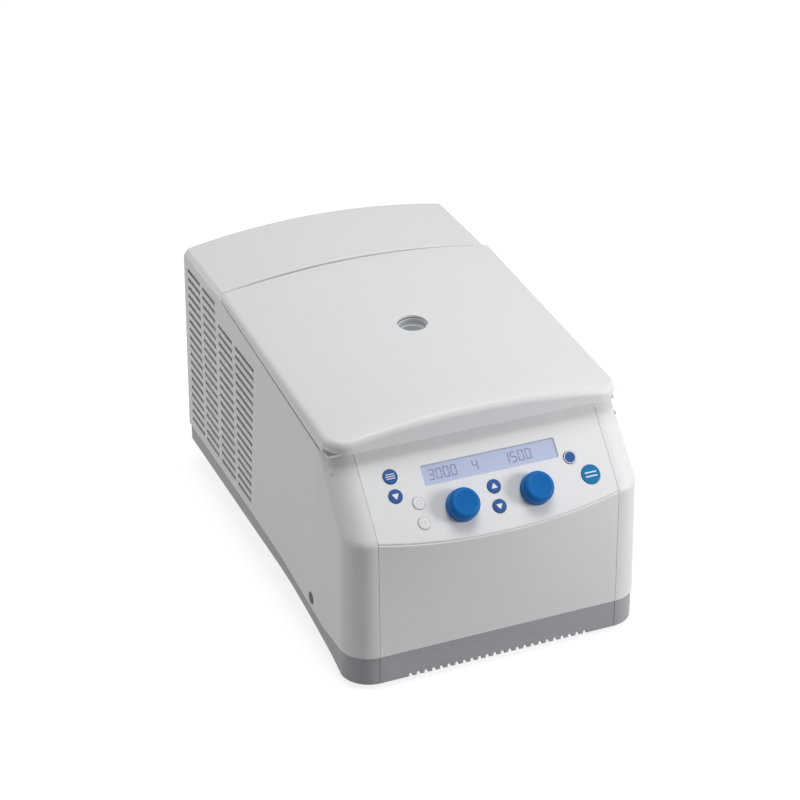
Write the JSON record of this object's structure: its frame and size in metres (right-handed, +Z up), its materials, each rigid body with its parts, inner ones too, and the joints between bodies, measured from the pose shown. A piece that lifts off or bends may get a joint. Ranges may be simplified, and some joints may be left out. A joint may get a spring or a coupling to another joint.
{
  "type": "microplate centrifuge",
  "caption": "Refrigerated bench centrifuge with a hinged crowned lid over a swing-out plate rotor, a sloping control panel with knobs and keys, and vented sides.",
  "frame": {"origin": "on the bench, under the middle of the bounding box", "axes": "+Z up, the front with the control panel looks towards -Y, +X is to the right seen from the front"},
  "size_m": [0.384, 0.618, 0.3433],
  "materials": {
    "cover_white": "fine moulded texture, satin",
    "panel_foil": "smooth satin foil",
    "base_grey": "moulded grey, satin",
    "liner_grey": "moulded satin",
    "knob_blue": "moulded blue, satin",
    "button_blue": "printed blue",
    "button_light_blue": "printed light blue",
    "button_white": "printed white",
    "rubber_black": "matte",
    "rubber_grey": "matte",
    "steel_bare": "brushed",
    "steel_bowl": "polished sheet",
    "sheet_plated": "zinc plated sheet",
    "rotor_metal": "anodised",
    "bucket_metal": "anodised grey",
    "fin_metal": "bare fins",
    "copper_pipe": "copper",
    "black_plastic": "moulded black",
    "compressor_black": "black enamel",
    "motor_dark": "painted",
    "winding": "enamelled wire",
    "board_green": "solder resist",
    "foam": "closed cell foam",
    "lcd_white": "lit liquid crystal backing",
    "lcd_ink": "dark segments",
    "clear_glass": "clear"
  },
  "bodies": {
    "root": {"base_tray": "base_grey", "main_housing": "cover_white", "front_panel": "cover_white", "control_panel": "panel_foil", "rear_panel": "sheet_plated", "rubber_feet": "rubber_black", "foot_screws": "steel_bare", "chassis_plate": "sheet_plated", "lid_seal": "rubber_grey", "hinge_shaft": "steel_bare", "hinge_uprights": "sheet_plated", "hinge_springs": "steel_bare", "latch_rail": "sheet_plated", "latch_solenoid": "motor_dark", "chamber_bowl": "steel_bowl", "bowl_foam": "foam", "bowl_stand": "sheet_plated", "deck_plate": "liner_grey", "motor_housing": "motor_dark", "motor_stator": "winding", "motor_dampers": "rubber_black", "motor_bearings": "steel_bare", "shaft_boot": "rubber_black", "compressor": "compressor_black", "condenser": "fin_metal", "fan_frame": "black_plastic", "refrigerant_pipes": "copper_pipe", "control_board": "board_green", "power_board": "board_green", "display_module": "lcd_white", "display_window": "clear_glass", "display_digits": "lcd_ink", "encoders": "motor_dark", "power_inlet": "black_plastic", "panel_screws": "steel_bare"},
    "lid": {"lid_shell": "cover_white", "lid_liner": "liner_grey", "port_ring": "liner_grey", "port_glass": "clear_glass", "hinge_arms": "steel_bare", "latch_hooks": "steel_bare"},
    "latch_bolt": {"latch_bolt": "steel_bare"},
    "rotor": {"drive_shaft": "steel_bare", "rotor_yoke": "rotor_metal", "rotor_nut": "rotor_metal"},
    "bucket_left": {"bucket_left": "bucket_metal"},
    "bucket_right": {"bucket_right": "bucket_metal"},
    "fan": {"fan_rotor": "black_plastic"},
    "knob_left": {"knob_left": "knob_blue"},
    "knob_right": {"knob_right": "knob_blue"},
    "power_rocker": {"power_switch": "black_plastic"},
    "release_plug": {"release_plug": "rubber_grey"},
    "button_lines": {"button_lines": "button_blue"},
    "button_ramp": {"button_ramp": "button_blue"},
    "button_white_upper": {"button_white_upper": "button_white"},
    "button_white_lower": {"button_white_lower": "button_white"},
    "button_warmer": {"button_warmer": "button_blue"},
    "button_cooler": {"button_cooler": "button_blue"},
    "button_open": {"button_open": "button_blue"},
    "button_start": {"button_start": "button_light_blue"}
  },
  "joints": [
    {"name": "lid_hinge", "type": "hinge", "parent": "root", "child": "lid", "pos_m": [0, 0.22, 0.295], "axis": [-1, 0, 0], "range_deg": [0, 75]},
    {"name": "latch_slide", "type": "slide", "parent": "root", "child": "latch_bolt", "axis": [1, 0, 0], "range_m": [0, 0.008], "stiffness_N_per_m": 200},
    {"name": "rotor_spin", "type": "hinge", "parent": "root", "child": "rotor", "pos_m": [0, -0.031, 0.205], "axis": [0, 0, 1], "continuous": true},
    {"name": "bucket_left_swing", "type": "hinge", "parent": "rotor", "child": "bucket_left", "pos_m": [-0.068, -0.031, 0.205], "axis": [0, 1, 0], "range_deg": [0, 90]},
    {"name": "bucket_right_swing", "type": "hinge", "parent": "rotor", "child": "bucket_right", "pos_m": [0.068, -0.031, 0.205], "axis": [0, -1, 0], "range_deg": [0, 90]},
    {"name": "fan_spin", "type": "hinge", "parent": "root", "child": "fan", "pos_m": [-0.124, 0.225, 0.135], "axis": [1, 0, 0], "continuous": true},
    {"name": "knob_left_turn", "type": "hinge", "parent": "root", "child": "knob_left", "pos_m": [-0.0435, -0.28143, 0.21958], "axis": [0, -0.7325, 0.6807], "continuous": true},
    {"name": "knob_right_turn", "type": "hinge", "parent": "root", "child": "knob_right", "pos_m": [0.0515, -0.28143, 0.21958], "axis": [0, -0.7325, 0.6807], "continuous": true},
    {"name": "button_lines_press", "type": "slide", "parent": "root", "child": "button_lines", "axis": [0, 0.7325, -0.6807], "range_m": [0, 0.0008], "stiffness_N_per_m": 600},
    {"name": "button_ramp_press", "type": "slide", "parent": "root", "child": "button_ramp", "axis": [0, 0.7325, -0.6807], "range_m": [0, 0.0008], "stiffness_N_per_m": 600},
    {"name": "button_white_upper_press", "type": "slide", "parent": "root", "child": "button_white_upper", "axis": [0, 0.7325, -0.6807], "range_m": [0, 0.0008], "stiffness_N_per_m": 600},
    {"name": "button_white_lower_press", "type": "slide", "parent": "root", "child": "button_white_lower", "axis": [0, 0.7325, -0.6807], "range_m": [0, 0.0008], "stiffness_N_per_m": 600},
    {"name": "button_warmer_press", "type": "slide", "parent": "root", "child": "button_warmer", "axis": [0, 0.7325, -0.6807], "range_m": [0, 0.0008], "stiffness_N_per_m": 600},
    {"name": "button_cooler_press", "type": "slide", "parent": "root", "child": "button_cooler", "axis": [0, 0.7325, -0.6807], "range_m": [0, 0.0008], "stiffness_N_per_m": 600},
    {"name": "button_open_press", "type": "slide", "parent": "root", "child": "button_open", "axis": [0, 0.7325, -0.6807], "range_m": [0, 0.0008], "stiffness_N_per_m": 600},
    {"name": "button_start_press", "type": "slide", "parent": "root", "child": "button_start", "axis": [0, 0.7325, -0.6807], "range_m": [0, 0.0008], "stiffness_N_per_m": 600},
    {"name": "power_rocker_tilt", "type": "hinge", "parent": "root", "child": "power_rocker", "pos_m": [-0.02, 0.302, 0.092], "axis": [1, 0, 0], "range_deg": [0, 16]},
    {"name": "release_plug_pull", "type": "slide", "parent": "root", "child": "release_plug", "axis": [-1, 0, 0], "range_m": [0, 0.01]}
  ]
}
